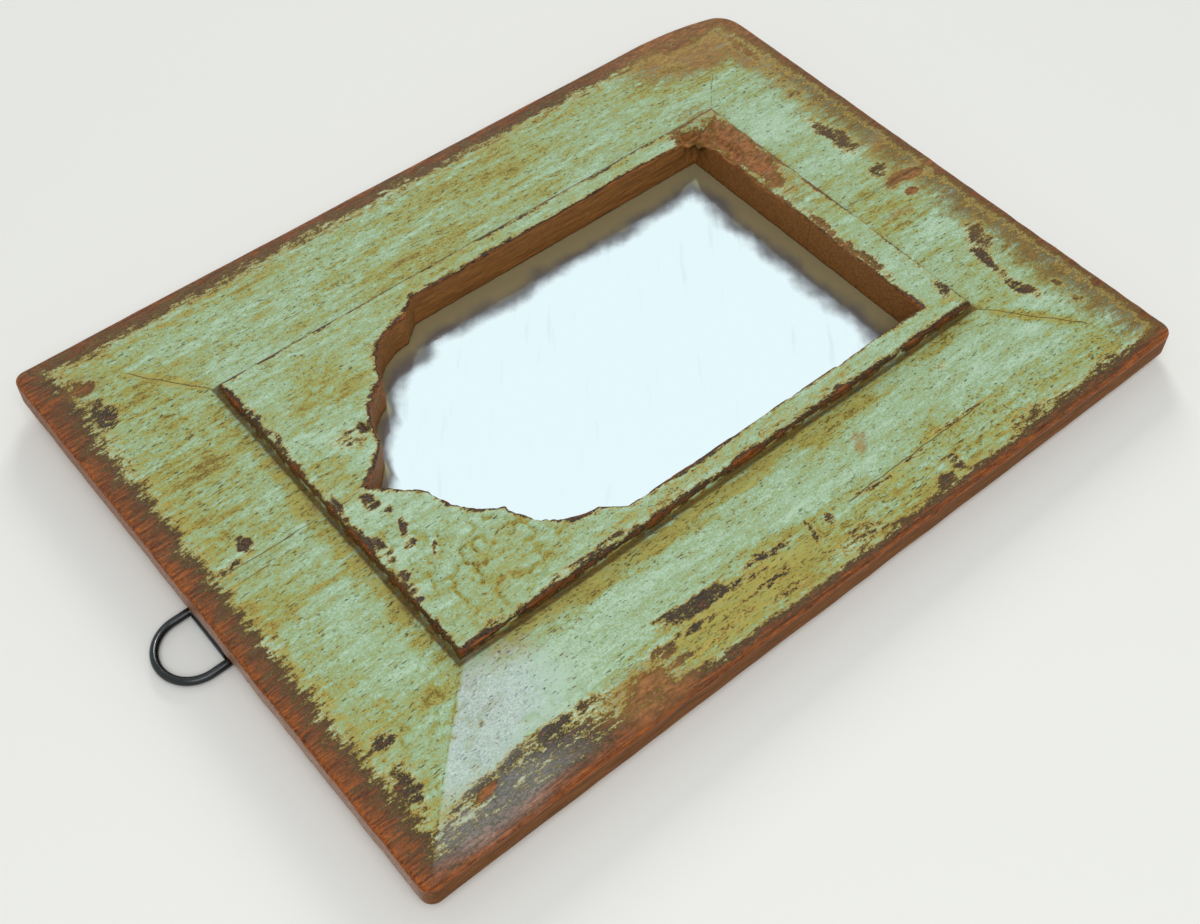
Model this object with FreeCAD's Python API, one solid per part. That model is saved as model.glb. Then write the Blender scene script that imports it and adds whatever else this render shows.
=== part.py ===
import FreeCAD, Part
import math
import os

# Painted wall mirror cut from an old fielded door panel, in millimetres.
# X runs right across the face, Y from the face to the wall and Z up to the hanger.
# The backing's rear face is the plane Y = 0, and the panel's centre is above the origin.

# Panel of two boards
PANEL_WIDTH = 240.0
PANEL_HEIGHT = 324.0
EDGE_THICKNESS = 10.8
BEVEL_FOOT_THICKNESS = 12.8
FIELD_THICKNESS = 16.6
SIDE_MARGIN = 52.4
TOP_MARGIN = 51.0
BOTTOM_MARGIN = 49.8
CORNER_RADIUS = 4.5
ARRIS_RADIUS = 1.4
SEAM_TOP_X = 1.2
SEAM_BOTTOM_X = -4.4

# Worn lower right corner, measured from the square corner
WORN_SIDE_LENGTH = 46.0
WORN_FOOT_LENGTH = 16.0
WORN_KNEE_RADIUS = 11.0

# Arched opening in the field
SIDE_STRIP = 9.2
SILL_STRIP = 15.8
CROWN_STRIP = 14.0
ARCH_RISE = 59.5
# Each leg of the half arch from the shoulder to the crown: share of the half width,
# share of the rise, and the bow of its arc as a share of its own length
ARCH_LEGS = (
    (0.103, 0.126, 0.0),
    (0.325, 0.380, 0.173),
    (0.341, 0.249, 0.137),
    (0.231, 0.245, -0.030),
)

# Glass, card and backing
REBATE_LAP = 6.0
GLASS_THICKNESS = 2.0
CARD_THICKNESS = 0.4
GLASS_CLEARANCE = 0.5
BACKING_THICKNESS = 2.5
BACKING_LAP = 10.0
BACKING_CORNER = 2.0

# Backing nails
NAIL_INSET = 5.0
NAILS_ACROSS = 3
NAILS_UP = 4
NAIL_RADIUS = 0.7
NAIL_HEAD_RADIUS = 1.7
NAIL_HEAD_THICKNESS = 0.7
NAIL_BITE = 8.0
NAIL_CLEARANCE = 0.03

# Bamboo pegs across the seam
PEG_RADIUS = 2.5
PEG_LENGTH = 28.0
PEG_SETBACKS = (22.0, 40.0)
PEG_CLEARANCE = 0.05
PEG_END_GAP = 0.5

# Hanger strap, screws and ring
HANGER_X = -3.6
WIRE_RADIUS = 1.45
RING_WIDTH = 23.7
RING_HEIGHT = 19.4
RING_CORNER = 2.0
RING_LEAN = 2.0
BAR_INSET = 2.0
BAR_CLEARANCE = 0.05
STRAP_THICKNESS = 0.8
STRAP_SIDE_PLAY = 0.25
STRAP_TAIL = 15.5
FOLD_ANGLE = 40.0
FOLD_GAP = 0.1
SCREW_DROP = 10.2
SCREW_SPACING = 10.0
SCREW_RADIUS = 1.4
SCREW_BITE = 7.0
SCREW_HEAD_RADIUS = 2.6
SCREW_HEAD_HEIGHT = 1.3
SCREW_SLOT_WIDTH = 0.8
SCREW_SLOT_DEPTH = 0.6
SCREW_CLEARANCE = 0.03
STRAP_HOLE_CLEARANCE = 0.15

# Places worked out from the sizes above
PANEL_BACK = -BACKING_THICKNESS
PANEL_TOP = PANEL_HEIGHT / 2
PANEL_BOTTOM = -PANEL_HEIGHT / 2
PANEL_SIDE = PANEL_WIDTH / 2
FIELD_SIDE = PANEL_SIDE - SIDE_MARGIN
FIELD_TOP = PANEL_TOP - TOP_MARGIN
FIELD_BOTTOM = PANEL_BOTTOM + BOTTOM_MARGIN
OPENING_SIDE = FIELD_SIDE - SIDE_STRIP
SILL = FIELD_BOTTOM + SILL_STRIP
CROWN = FIELD_TOP - CROWN_STRIP
SPRING = CROWN - ARCH_RISE
REBATE_DEPTH = GLASS_THICKNESS + CARD_THICKNESS
REBATE_SIDE = OPENING_SIDE + REBATE_LAP
REBATE_TOP = CROWN + REBATE_LAP
REBATE_BOTTOM = SILL - REBATE_LAP
BACKING_SIDE = REBATE_SIDE + BACKING_LAP
BACKING_TOP = REBATE_TOP + BACKING_LAP
BACKING_BOTTOM = REBATE_BOTTOM - BACKING_LAP
LEDGE = PANEL_BACK - REBATE_DEPTH
BAR_BORE = WIRE_RADIUS + BAR_CLEARANCE
BAR_Y = PANEL_BACK + STRAP_THICKNESS + BAR_BORE
BAR_Z = PANEL_TOP - BAR_INSET
STRAP_WIDTH = RING_WIDTH - 2 * RING_CORNER - 2 * STRAP_SIDE_PLAY
STRAP_BACK = PANEL_BACK + 2 * STRAP_THICKNESS + FOLD_GAP
# How far cutting tools run past what they cut
PAST = 5.0

V = FreeCAD.Vector
TO_FRONT = V(0, -1, 0)
ACROSS = V(1, 0, 0)


def line(start, end):
    return Part.LineSegment(start, end).toShape()


def bowed(start, end, share):
    """An arc from start to end that bows to the left, seen from the face, by a share of its length."""
    if share == 0:
        return line(start, end)
    chord = end - start
    left = V(-chord.z, 0, chord.x)
    return Part.Arc(start, (start + end) * 0.5 + left * share, end).toShape()


def plate(edges, thickness):
    """A plate from edges in one XZ plane, thickened towards the front."""
    return Part.Face(Part.Wire(edges)).extrude(TO_FRONT * thickness)


def box(x_low, x_high, y_front, y_back, z_low, z_high):
    corner = V(x_low, y_front, z_low)
    return Part.makeBox(x_high - x_low, y_back - y_front, z_high - z_low, corner)


def peg(radius, length, start, direction):
    return Part.makeCylinder(radius, length, start, direction)


def seam_x(z):
    """Where the joint between the two boards crosses the height z."""
    share = (z - PANEL_BOTTOM) / PANEL_HEIGHT
    return SEAM_BOTTOM_X + share * (SEAM_TOP_X - SEAM_BOTTOM_X)


def rounding(centre, radius, start, end):
    """An arc round centre from one angle to another, in radians from +X towards +Z."""
    spots = []
    for angle in (start, (start + end) / 2, end):
        spots.append(centre + V(math.cos(angle), 0, math.sin(angle)) * radius)
    return Part.Arc(*spots).toShape()


def panel_outline(y):
    """The panel's plan, with three small round corners and one worn corner, clockwise from the face."""
    r = CORNER_RADIUS
    right_angle = math.pi / 2
    top_left = V(-PANEL_SIDE + r, y, PANEL_TOP - r)
    top_right = V(PANEL_SIDE - r, y, PANEL_TOP - r)
    bottom_left = V(-PANEL_SIDE + r, y, PANEL_BOTTOM + r)
    # The worn corner is a long flat arc down the side, running into a short one at the foot
    drop = WORN_SIDE_LENGTH - WORN_KNEE_RADIUS
    step = WORN_FOOT_LENGTH - WORN_KNEE_RADIUS
    side_radius = (WORN_FOOT_LENGTH ** 2 + drop ** 2 - WORN_KNEE_RADIUS ** 2) / (2 * step)
    worn_top = PANEL_BOTTOM + WORN_SIDE_LENGTH
    side_centre = V(PANEL_SIDE - side_radius, y, worn_top)
    knee_centre = V(PANEL_SIDE - WORN_FOOT_LENGTH, y, PANEL_BOTTOM + WORN_KNEE_RADIUS)
    knee = -math.asin(drop / (side_radius - WORN_KNEE_RADIUS))
    return [
        rounding(top_left, r, 2 * right_angle, right_angle),
        line(top_left + V(0, 0, r), top_right + V(0, 0, r)),
        rounding(top_right, r, right_angle, 0),
        line(top_right + V(r, 0, 0), V(PANEL_SIDE, y, worn_top)),
        rounding(side_centre, side_radius, 0, knee),
        rounding(knee_centre, WORN_KNEE_RADIUS, knee, -right_angle),
        line(knee_centre - V(0, 0, WORN_KNEE_RADIUS), bottom_left - V(0, 0, r)),
        rounding(bottom_left, r, -right_angle, -2 * right_angle),
        line(bottom_left - V(r, 0, 0), top_left - V(r, 0, 0)),
    ]


def bevel_cutters():
    """Four wedges that plane the margins down from the field's step to the thin outer edge."""
    front = PANEL_BACK - FIELD_THICKNESS - PAST
    foot = PANEL_BACK - BEVEL_FOOT_THICKNESS
    cutters = []
    for inner, outer, along_z in (
        (FIELD_SIDE, PANEL_SIDE, False),
        (-FIELD_SIDE, -PANEL_SIDE, False),
        (FIELD_TOP, PANEL_TOP, True),
        (FIELD_BOTTOM, PANEL_BOTTOM, True),
    ):
        slope = (BEVEL_FOOT_THICKNESS - EDGE_THICKNESS) / (outer - inner)
        past = outer + math.copysign(PAST, outer)
        edge = foot + slope * (past - inner)
        section = [(inner, front), (past, front), (past, edge), (inner, foot)]
        reach = max(PANEL_WIDTH, PANEL_HEIGHT)
        if along_z:
            points = [V(-reach, y, z) for z, y in section]
            sweep = V(2 * reach, 0, 0)
        else:
            points = [V(x, y, -reach) for x, y in section]
            sweep = V(0, 0, 2 * reach)
        face = Part.Face(Part.makePolygon(points + points[:1]))
        cutters.append(face.extrude(sweep))
    return cutters


def arch_edges(y):
    """The opening's rim: sill, straight sides and the cusped arch, clockwise from the face."""
    points = [(OPENING_SIDE, SPRING)]
    for width_share, rise_share, _ in ARCH_LEGS:
        x, z = points[-1]
        points.append((x - width_share * OPENING_SIDE, z + rise_share * ARCH_RISE))
    points[-1] = (0.0, CROWN)
    right = [V(x, y, z) for x, z in points]
    left = [V(-x, y, z) for x, z in points]
    bows = [leg[2] for leg in ARCH_LEGS]
    sill_left = V(-OPENING_SIDE, y, SILL)
    sill_right = V(OPENING_SIDE, y, SILL)
    edges = [line(sill_left, left[0])]
    edges += [bowed(a, b, bow) for a, b, bow in zip(left, left[1:], bows)]
    edges += [bowed(a, b, bow) for a, b, bow in zip(right[:0:-1], right[-2::-1], bows[::-1])]
    edges += [line(right[0], sill_right), line(sill_right, sill_left)]
    return edges


def softened(panel):
    """The panel with its outer front and back arrises rounded over."""
    outline = Part.Wire(panel_outline(PANEL_BACK))
    rim = []
    for edge in panel.Edges:
        ends = (edge.FirstParameter, edge.LastParameter)
        spots = [edge.valueAt(ends[0] + share * (ends[1] - ends[0])) for share in (0.0, 0.5, 1.0)]
        feet = [Part.Vertex(spot.x, PANEL_BACK, spot.z) for spot in spots]
        on_outline = all(outline.distToShape(foot)[0] < 1e-4 for foot in feet)
        runs_through = abs(spots[0].y - spots[2].y) > EDGE_THICKNESS / 2
        if on_outline and not runs_through:
            rim.append(edge)
    return panel.makeFillet(ARRIS_RADIUS, rim)


def nail_spots():
    """Nails in line round the backing, evenly spaced, corners shared."""
    side = BACKING_SIDE - NAIL_INSET
    top = BACKING_TOP - NAIL_INSET
    bottom = BACKING_BOTTOM + NAIL_INSET
    spots = []
    for i in range(NAILS_ACROSS):
        x = -side + 2 * side * i / (NAILS_ACROSS - 1)
        spots += [(x, bottom), (x, top)]
    for i in range(1, NAILS_UP - 1):
        z = bottom + (top - bottom) * i / (NAILS_UP - 1)
        spots += [(-side, z), (side, z)]
    return spots


def screw_spots():
    z = BAR_Z - SCREW_DROP
    return [(HANGER_X + sign * SCREW_SPACING / 2, z) for sign in (-1, 1)]


def peg_heights():
    heights = []
    for setback in PEG_SETBACKS:
        heights += [PANEL_TOP - setback, PANEL_BOTTOM + setback]
    return heights


def peg_at(z, radius, length):
    middle = V(seam_x(z), PANEL_BACK - EDGE_THICKNESS / 2, z)
    return peg(radius, length, middle - ACROSS * (length / 2), ACROSS)


def boards():
    """The two boards: one panel bevelled, pierced and rebated, then parted along the seam."""
    panel = plate(panel_outline(PANEL_BACK), FIELD_THICKNESS)
    panel = softened(panel.cut(bevel_cutters()))
    rim = PANEL_BACK + PAST
    pierced = plate(arch_edges(rim), FIELD_THICKNESS + 2 * PAST)
    rebate = box(-REBATE_SIDE, REBATE_SIDE, LEDGE, rim, REBATE_BOTTOM, REBATE_TOP)
    holes = [peg_at(z, PEG_RADIUS + PEG_CLEARANCE, PEG_LENGTH + 2 * PEG_END_GAP) for z in peg_heights()]
    for x, z in nail_spots():
        holes.append(peg(NAIL_RADIUS + NAIL_CLEARANCE, NAIL_BITE, V(x, PANEL_BACK, z), TO_FRONT))
    for x, z in screw_spots():
        holes.append(peg(SCREW_RADIUS + SCREW_CLEARANCE, SCREW_BITE, V(x, PANEL_BACK, z), TO_FRONT))
    panel = panel.cut([pierced, rebate] + holes)
    low = PANEL_BOTTOM - PAST
    high = PANEL_TOP + PAST
    halves = []
    for side in (-PANEL_WIDTH, PANEL_WIDTH):
        corners = [(seam_x(low), low), (seam_x(high), high), (side, high), (side, low), (seam_x(low), low)]
        edges = [V(x, rim, z) for x, z in corners]
        half = Part.Face(Part.makePolygon(edges)).extrude(TO_FRONT * (FIELD_THICKNESS + 2 * PAST))
        halves.append(panel.common(half))
    return halves


def joint_pegs():
    return Part.makeCompound([peg_at(z, PEG_RADIUS, PEG_LENGTH) for z in peg_heights()])


def sheet_in_rebate(y_front, thickness):
    """A sheet that drops into the rebate with the glass clearance all round."""
    side = REBATE_SIDE - GLASS_CLEARANCE
    low = REBATE_BOTTOM + GLASS_CLEARANCE
    high = REBATE_TOP - GLASS_CLEARANCE
    return box(-side, side, y_front, y_front + thickness, low, high)


def backing_board():
    sheet = box(-BACKING_SIDE, BACKING_SIDE, PANEL_BACK, 0, BACKING_BOTTOM, BACKING_TOP)
    upright = [e for e in sheet.Edges if abs(e.tangentAt(e.FirstParameter).y) > 0.9]
    sheet = sheet.makeFillet(BACKING_CORNER, upright)
    holes = []
    for x, z in nail_spots():
        holes.append(peg(NAIL_RADIUS + NAIL_CLEARANCE, BACKING_THICKNESS, V(x, 0, z), TO_FRONT))
        holes.append(peg(NAIL_HEAD_RADIUS + NAIL_CLEARANCE, NAIL_HEAD_THICKNESS, V(x, 0, z), TO_FRONT))
    return sheet.cut(holes)


def backing_nails():
    nails = []
    for x, z in nail_spots():
        head = peg(NAIL_HEAD_RADIUS, NAIL_HEAD_THICKNESS, V(x, 0, z), TO_FRONT)
        shank = peg(NAIL_RADIUS, BACKING_THICKNESS + NAIL_BITE, V(x, 0, z), TO_FRONT)
        nails.append(head.fuse(shank).removeSplitter())
    return Part.makeCompound(nails)


def hanger_strap():
    """A sheet steel strap folded round the ring's bar, both plies screwed flat to the panel's back."""
    outer = BAR_BORE + STRAP_THICKNESS
    turn = math.radians(FOLD_ANGLE)
    end = BAR_Z - STRAP_TAIL
    inner_ply = PANEL_BACK + STRAP_THICKNESS
    outer_ply = inner_ply + FOLD_GAP
    x = HANGER_X - STRAP_WIDTH / 2

    def on_roll(radius, angle):
        return V(x, BAR_Y + radius * math.cos(angle), BAR_Z + radius * math.sin(angle))

    def down_to(start, y):
        """Where the straight of the fold, leaving the roll at start, meets the plane y."""
        run = (start.y - y) / math.sin(turn)
        return V(x, y, start.z - run * math.cos(turn))

    leave_out = on_roll(outer, -turn)
    leave_in = on_roll(BAR_BORE, -turn)
    profile = [
        line(V(x, PANEL_BACK, end), V(x, PANEL_BACK, BAR_Z)),
        Part.Arc(on_roll(outer, math.pi), on_roll(outer, math.pi / 2), leave_out).toShape(),
        line(leave_out, down_to(leave_out, STRAP_BACK)),
        line(down_to(leave_out, STRAP_BACK), V(x, STRAP_BACK, end)),
        line(V(x, STRAP_BACK, end), V(x, outer_ply, end)),
        line(V(x, outer_ply, end), down_to(leave_in, outer_ply)),
        line(down_to(leave_in, outer_ply), leave_in),
        Part.Arc(leave_in, on_roll(BAR_BORE, math.pi / 2), on_roll(BAR_BORE, math.pi)).toShape(),
        line(V(x, inner_ply, BAR_Z), V(x, inner_ply, end)),
        line(V(x, inner_ply, end), V(x, PANEL_BACK, end)),
    ]
    strap = Part.Face(Part.Wire(profile)).extrude(ACROSS * STRAP_WIDTH)
    hole = SCREW_RADIUS + STRAP_HOLE_CLEARANCE
    depth = STRAP_BACK - PANEL_BACK + 2 * PAST
    return strap.cut([peg(hole, depth, V(sx, STRAP_BACK + PAST, sz), TO_FRONT) for sx, sz in screw_spots()])


def hanger_screws():
    screws = []
    top = STRAP_BACK + SCREW_HEAD_HEIGHT
    for x, z in screw_spots():
        head = peg(SCREW_HEAD_RADIUS, SCREW_HEAD_HEIGHT, V(x, top, z), TO_FRONT)
        shank = peg(SCREW_RADIUS, top - PANEL_BACK + SCREW_BITE, V(x, top, z), TO_FRONT)
        half = SCREW_HEAD_RADIUS + PAST
        slot = box(x - half, x + half, top - SCREW_SLOT_DEPTH, top + PAST,
                   z - SCREW_SLOT_WIDTH / 2, z + SCREW_SLOT_WIDTH / 2)
        screws.append(head.fuse(shank).removeSplitter().cut(slot))
    return Part.makeCompound(screws)


def hanger_ring():
    """A wire D: straight bar in the strap, two tight corners, two legs and a half round bow."""
    bow = RING_WIDTH / 2
    bow_z = BAR_Z + RING_HEIGHT - bow
    leg = bow_z - BAR_Z - RING_CORNER
    bar = RING_WIDTH - 2 * RING_CORNER
    pieces = [peg(WIRE_RADIUS, bar, V(HANGER_X - bar / 2, BAR_Y, BAR_Z), ACROSS)]

    def bend(start, tangent, centre, degrees):
        section = Part.Face(Part.Wire(Part.makeCircle(WIRE_RADIUS, start, tangent)))
        return section.revolve(centre, V(0, 1, 0), degrees)

    for sign in (-1, 1):
        corner = V(HANGER_X + sign * bar / 2, BAR_Y, BAR_Z)
        pieces.append(bend(corner, ACROSS, corner + V(0, 0, RING_CORNER), -90 * sign))
        foot = corner + V(sign * RING_CORNER, 0, RING_CORNER)
        pieces.append(peg(WIRE_RADIUS, leg, foot, V(0, 0, 1)))
    centre = V(HANGER_X, BAR_Y, bow_z)
    pieces.append(bend(centre - ACROSS * bow, V(0, 0, 1), centre, 180))
    ring = pieces[0].fuse(pieces[1:]).removeSplitter()
    ring.rotate(V(HANGER_X, BAR_Y, BAR_Z), ACROSS, -RING_LEAN)
    return ring


def main():
    os.makedirs("parts", exist_ok=True)
    board_left, board_right = boards()
    parts = {
        "board_left": board_left,
        "board_right": board_right,
        "joint_pegs": joint_pegs(),
        "mirror_glass": sheet_in_rebate(LEDGE, GLASS_THICKNESS),
        "packing_card": sheet_in_rebate(LEDGE + GLASS_THICKNESS, CARD_THICKNESS),
        "backing_board": backing_board(),
        "backing_nails": backing_nails(),
        "hanger_strap": hanger_strap(),
        "hanger_screws": hanger_screws(),
        "hanger_ring": hanger_ring(),
    }
    for name, shape in parts.items():
        shape.exportStep("parts/%s.step" % name)
        size = shape.BoundBox
        print("%-14s solids %2d valid %s volume %9.1f box %s" % (
            name, len(shape.Solids), shape.isValid(), shape.Volume,
            [round(v, 2) for v in (size.XMin, size.XMax, size.YMin, size.YMax, size.ZMin, size.ZMax)]))


main()
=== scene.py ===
import math

import bmesh
import bpy
import numpy as np
from mathutils import Matrix, Vector, kdtree


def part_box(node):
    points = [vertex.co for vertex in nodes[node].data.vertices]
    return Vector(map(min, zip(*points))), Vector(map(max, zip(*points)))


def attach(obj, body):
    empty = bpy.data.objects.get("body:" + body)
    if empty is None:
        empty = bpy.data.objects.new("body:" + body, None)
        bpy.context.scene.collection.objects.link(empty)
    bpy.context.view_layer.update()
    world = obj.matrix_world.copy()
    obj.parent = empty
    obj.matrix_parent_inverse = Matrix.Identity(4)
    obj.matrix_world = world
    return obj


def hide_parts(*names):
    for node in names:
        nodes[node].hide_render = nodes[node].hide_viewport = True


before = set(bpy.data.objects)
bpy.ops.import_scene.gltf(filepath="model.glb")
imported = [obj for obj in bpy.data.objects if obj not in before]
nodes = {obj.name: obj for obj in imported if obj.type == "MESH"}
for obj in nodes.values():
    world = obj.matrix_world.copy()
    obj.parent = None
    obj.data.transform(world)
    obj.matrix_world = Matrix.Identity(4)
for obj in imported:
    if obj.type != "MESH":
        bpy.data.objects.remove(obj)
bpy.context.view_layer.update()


# The two boards
# An old door panel of two hardwood boards glued edge to edge, planed to a bevel round a raised field.
# A cusped arch is sawn through it and the back is rebated for the glass. The grain runs up the panel.
MM = 0.001
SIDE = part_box("board_right")[1].x / MM
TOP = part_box("board_left")[1].z / MM
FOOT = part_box("board_left")[0].z / MM
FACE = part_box("board_left")[0].y / MM
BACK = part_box("board_left")[1].y / MM
GLASS_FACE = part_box("mirror_glass")[0].y / MM
SEAM_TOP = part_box("board_left")[1].x / MM
SEAM_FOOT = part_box("board_right")[0].x / MM
FIELD_SIDE = SIDE - 52.4
FIELD_TOP = TOP - 51.0
FIELD_FOOT = FOOT + 49.8
EDGE_THICKNESS = 10.8
BEVEL_THICKNESS = 12.8
OPENING_SIDE = FIELD_SIDE - 9.2
SILL = FIELD_FOOT + 15.8
CROWN = FIELD_TOP - 14.0
ARCH_RISE = 59.5
# Legs of the half arch from shoulder to crown: share of the half width, of the rise, and bow
ARCH_LEGS = ((0.103, 0.126, 0.0), (0.325, 0.380, 0.173), (0.341, 0.249, 0.137), (0.231, 0.245, -0.030))
LOBE_LEG = 1
REBATE_LAP = 6.0
CORNER = 4.5
ARRIS = 1.4
WORN_DROP = 46.0
WORN_RUN = 16.0
WORN_KNEE = 11.0
# Columns of the mesh along the top, one side and the foot of each board
COLUMNS = (108, 290, 104)


def arc(start, end, bow, steps=20):
    """Points from start to end, bowed to the left of the way by a share of the length."""
    start, end = np.array(start, float), np.array(end, float)
    if bow == 0:
        return np.array([start, end])
    along = (end - start) / 2
    across = np.array([-along[1], along[0]])
    half = 2 * math.atan(2 * bow)
    turn = np.linspace(-half, half, steps)[:, None]
    sweep = np.sin(turn) / math.sin(half)
    rise = (np.cos(turn) - math.cos(half)) / math.sin(half)
    return (start + end) / 2 + along * sweep + across * rise


def turn_arc(centre, radius, start, end, steps=14):
    """Points round a centre from one angle to another, in degrees from +X towards +Z."""
    angles = np.radians(np.linspace(start, end, steps))
    return np.array(centre) + radius * np.stack([np.cos(angles), np.sin(angles)], 1)


def spread(points, count):
    """The same path with points an equal way apart."""
    points = np.array(points, float)
    run = np.concatenate([[0], np.cumsum(np.linalg.norm(np.diff(points, axis=0), axis=1))])
    at = np.linspace(0, run[-1], count + 1)
    return np.stack([np.interp(at, run, points[:, i]) for i in (0, 1)], 1)


def seam_x(z):
    return SEAM_FOOT + (z - FOOT) / (TOP - FOOT) * (SEAM_TOP - SEAM_FOOT)


def columns(top, side, foot):
    """One loop of a board, from the seam at the top, round the side, to the seam at the foot."""
    parts = [spread(path, count) for path, count in zip((top, side, foot), COLUMNS)]
    return np.concatenate([parts[0], parts[1][1:], parts[2][1:]])


def rectangle_loop(side, top, foot, hand):
    corners = [(hand * seam_x(top), top), (side, top), (side, foot), (hand * seam_x(foot), foot)]
    return columns(corners[0:2], corners[1:3], corners[2:4])


def rim_loop(hand):
    """The saw cut of the arch from crown to sill, as on the right hand board."""
    points = [(OPENING_SIDE, CROWN - ARCH_RISE)]
    for width, rise, _ in ARCH_LEGS:
        points.append((points[-1][0] - width * OPENING_SIDE, points[-1][1] + rise * ARCH_RISE))
    points[-1] = (hand * seam_x(CROWN), CROWN)
    legs = [arc(a, b, -leg[2]) for a, b, leg in zip(points, points[1:], ARCH_LEGS)]
    middle = len(legs[LOBE_LEG]) // 2
    down_lobe = legs[LOBE_LEG][::-1]
    top = np.concatenate([legs[3][::-1], legs[2][::-1], down_lobe[:middle + 1]])
    side = np.concatenate([down_lobe[middle:], legs[0][::-1], [(OPENING_SIDE, SILL)]])
    return columns(top, side, [(OPENING_SIDE, SILL), (hand * seam_x(SILL), SILL)])


def outline_loop(hand):
    """The panel's outer edge; on the right hand board the lower corner is worn to a long curve."""
    top_corner = turn_arc((SIDE - CORNER, TOP - CORNER), CORNER, 90, 0)
    if hand > 0:
        drop = WORN_DROP - WORN_KNEE
        flat = (WORN_RUN ** 2 + drop ** 2 - WORN_KNEE ** 2) / (2 * (WORN_RUN - WORN_KNEE))
        knee = -math.degrees(math.asin(drop / (flat - WORN_KNEE)))
        long_arc = turn_arc((SIDE - flat, FOOT + WORN_DROP), flat, 0, knee, 30)
        knee_arc = turn_arc((SIDE - WORN_RUN, FOOT + WORN_KNEE), WORN_KNEE, knee, -90)
        low_corner = np.concatenate([long_arc, knee_arc])
        low_split = len(long_arc) + len(knee_arc) // 2
    else:
        low_corner = turn_arc((SIDE - CORNER, FOOT + CORNER), CORNER, 0, -90)
        low_split = len(low_corner) // 2
    half = len(top_corner) // 2
    top = np.concatenate([[(hand * seam_x(TOP), TOP)], top_corner[:half + 1]])
    side = np.concatenate([top_corner[half:], low_corner[:low_split + 1]])
    foot = np.concatenate([low_corner[low_split:], [(hand * seam_x(FOOT), FOOT)]])
    return columns(top, side, foot)


def outward(loop):
    """Unit normals of a loop in plan, away from the panel's middle."""
    along = np.gradient(loop, axis=0)
    normal = np.stack([-along[:, 1], along[:, 0]], 1)
    return normal / np.linalg.norm(normal, axis=1)[:, None]


def bevel_depth(plan):
    """How far the bevel lies behind the face of the field."""
    x, z = np.abs(plan[:, 0]), plan[:, 1]
    shares = [(x - FIELD_SIDE) / (SIDE - FIELD_SIDE), (z - FIELD_TOP) / (TOP - FIELD_TOP),
              (z - FIELD_FOOT) / (FOOT - FIELD_FOOT)]
    share = np.max(shares, axis=0)
    return (BACK - FACE) - BEVEL_THICKNESS + share * (BEVEL_THICKNESS - EDGE_THICKNESS)


RIM_ROUND = 0.9
# Profile of the step round the field: out from its edge and back from its face, with a worn quirk at the foot
STEP_PROFILE = ((-1.6, 0.0), (-1.0, 0.10), (-0.5, 0.34), (-0.15, 0.75), (0.0, 1.4), (0.12, 2.4), (0.3, 3.4),
                (0.65, 4.0), (1.1, 4.05), (1.7, 3.87))
# Rows of the mesh on each part of the section, and the angles of its rounded edges in degrees
WALL_ROWS = 13
FIELD_ROWS = 42
BEVEL_ROWS = 62
EDGE_ROWS = 8
BACK_ROWS = 15
RIM_TURN = (25, 50, 72, 90)
ARRIS_TURN = (20, 40, 60, 78, 90)
HEEL_TURN = (25, 50, 70, 90)


def board_rows(hand):
    """The closed section of a board as loops in plan with their depth behind the face."""
    rim, field = rim_loop(hand), rectangle_loop(FIELD_SIDE, FIELD_TOP, FIELD_FOOT, hand)
    edge = outline_loop(hand)
    rebate = rectangle_loop(OPENING_SIDE + REBATE_LAP, CROWN + REBATE_LAP, SILL - REBATE_LAP, hand)
    to_field = (field - rim) / np.linalg.norm(field - rim, axis=1)[:, None]
    out_edge = outward(edge)
    flat = np.ones(len(rim))
    thick = BACK - FACE
    ledge = GLASS_FACE - FACE
    rows = []
    for depth in np.linspace(ledge, RIM_ROUND, WALL_ROWS):
        rows.append(("wall", rim, flat * depth))
    for angle in np.radians(RIM_TURN):
        plan = rim + to_field * RIM_ROUND * (1 - math.cos(angle))
        rows.append(("rim", plan, flat * RIM_ROUND * (1 - math.sin(angle))))
    steps = []
    for out, depth in STEP_PROFILE:
        steps.append((rectangle_loop(FIELD_SIDE + out, FIELD_TOP + out, FIELD_FOOT - out, hand), depth))
    start, end = rows[-1][1], steps[0][0]
    for share in np.linspace(0, 1, FIELD_ROWS)[1:-1]:
        rows.append(("field", start + (end - start) * share, flat * 0))
    for plan, depth in steps:
        rows.append(("step", plan, flat * depth))
    start, end = rows[-1][1], edge - out_edge * ARRIS
    for share in np.linspace(0, 1, BEVEL_ROWS)[1:]:
        plan = start + (end - start) * share
        rows.append(("bevel", plan, bevel_depth(plan)))
    front = bevel_depth(edge)
    for angle in np.radians(ARRIS_TURN):
        plan = edge - out_edge * ARRIS * (1 - math.sin(angle))
        rows.append(("arris", plan, front + ARRIS * (1 - math.cos(angle))))
    for share in np.linspace(0, 1, EDGE_ROWS)[1:]:
        rows.append(("edge", edge, front + ARRIS + (thick - front - 2 * ARRIS) * share))
    for angle in np.radians(HEEL_TURN):
        plan = edge - out_edge * ARRIS * (1 - math.cos(angle))
        rows.append(("heel", plan, flat * (thick - ARRIS * (1 - math.sin(angle)))))
    start = rows[-1][1]
    for share in np.linspace(0, 1, BACK_ROWS)[1:]:
        rows.append(("back", start + (rebate - start) * share, flat * thick))
    rows.append(("rebate", rebate, flat * ledge))
    rows.append(("rebate", (rebate + rim) / 2, flat * ledge))
    return rows


LATTICE = 48


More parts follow.
